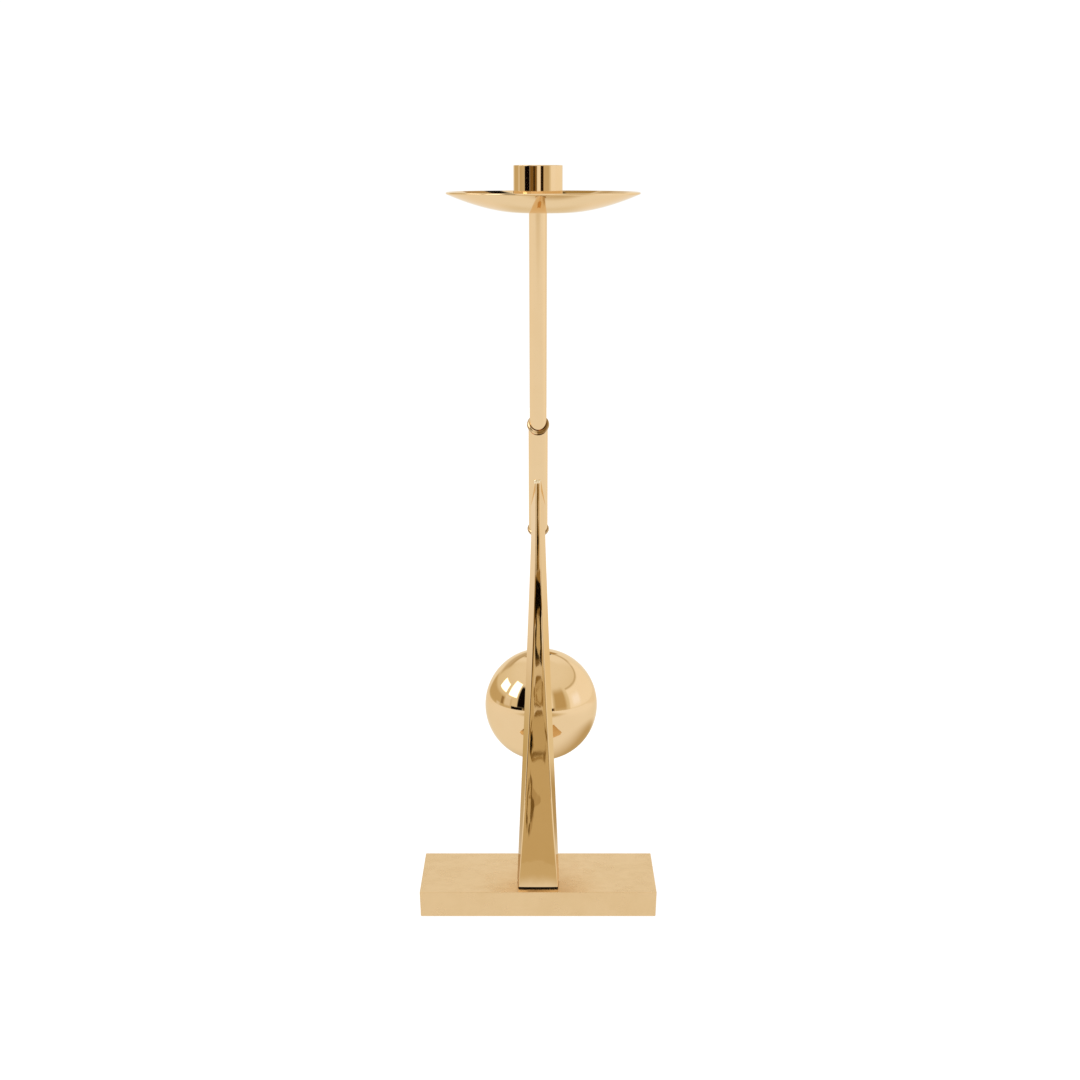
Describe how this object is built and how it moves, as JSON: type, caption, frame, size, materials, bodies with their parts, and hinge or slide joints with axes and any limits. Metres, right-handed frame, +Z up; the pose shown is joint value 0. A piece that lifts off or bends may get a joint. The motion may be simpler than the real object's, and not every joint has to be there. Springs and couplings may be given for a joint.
{
  "type": "counterbalanced taper candlestick",
  "caption": "Polished brass candlestick: a tapered blade on a flat base holds a leaning stem with a drip dish and candle cup above and a ball counterweight below.",
  "frame": {"origin": "centre of the felt underside that the candlestick stands on", "axes": "+Z up along the candle socket, -Y towards the side that the dish leans out over, +X across the blade"},
  "size_m": [0.13, 0.2826, 0.4082],
  "materials": {
    "polished_brass": "mirror polished",
    "satin_brass": "satin polished",
    "steel": "plain",
    "felt": "matte felt",
    "fibre": "matte"
  },
  "bodies": {
    "stand": {"base_block": "satin_brass", "base_felt": "felt", "blade": "polished_brass", "blade_screws": "steel", "blade_washers": "steel", "blade_dowels": "steel", "sleeve": "polished_brass", "upper_collar": "polished_brass", "lower_collar": "polished_brass", "stem_tube": "polished_brass", "stem_rod": "polished_brass", "stem_pin": "steel", "stem_head": "polished_brass"},
    "drip_dish": {"dish": "polished_brass"},
    "candle_cup": {"cup": "polished_brass", "cup_washer": "fibre"},
    "counterweight": {"ball_upper_shell": "polished_brass", "ball_lower_shell": "polished_brass", "ball_seam_ring": "polished_brass", "ball_boss": "polished_brass"}
  },
  "joints": [
    {"name": "dish_turn", "type": "hinge", "parent": "stand", "child": "drip_dish", "pos_m": [0, -0.09875, 0.3853], "axis": [0, 0, 1], "continuous": true},
    {"name": "cup_turn", "type": "hinge", "parent": "stand", "child": "candle_cup", "pos_m": [0, -0.09875, 0.3889], "axis": [0, 0, 1], "continuous": true},
    {"name": "ball_turn", "type": "hinge", "parent": "stand", "child": "counterweight", "pos_m": [0, 0.10189, 0.08725], "axis": [0, -0.5592, 0.829], "continuous": true}
  ]
}
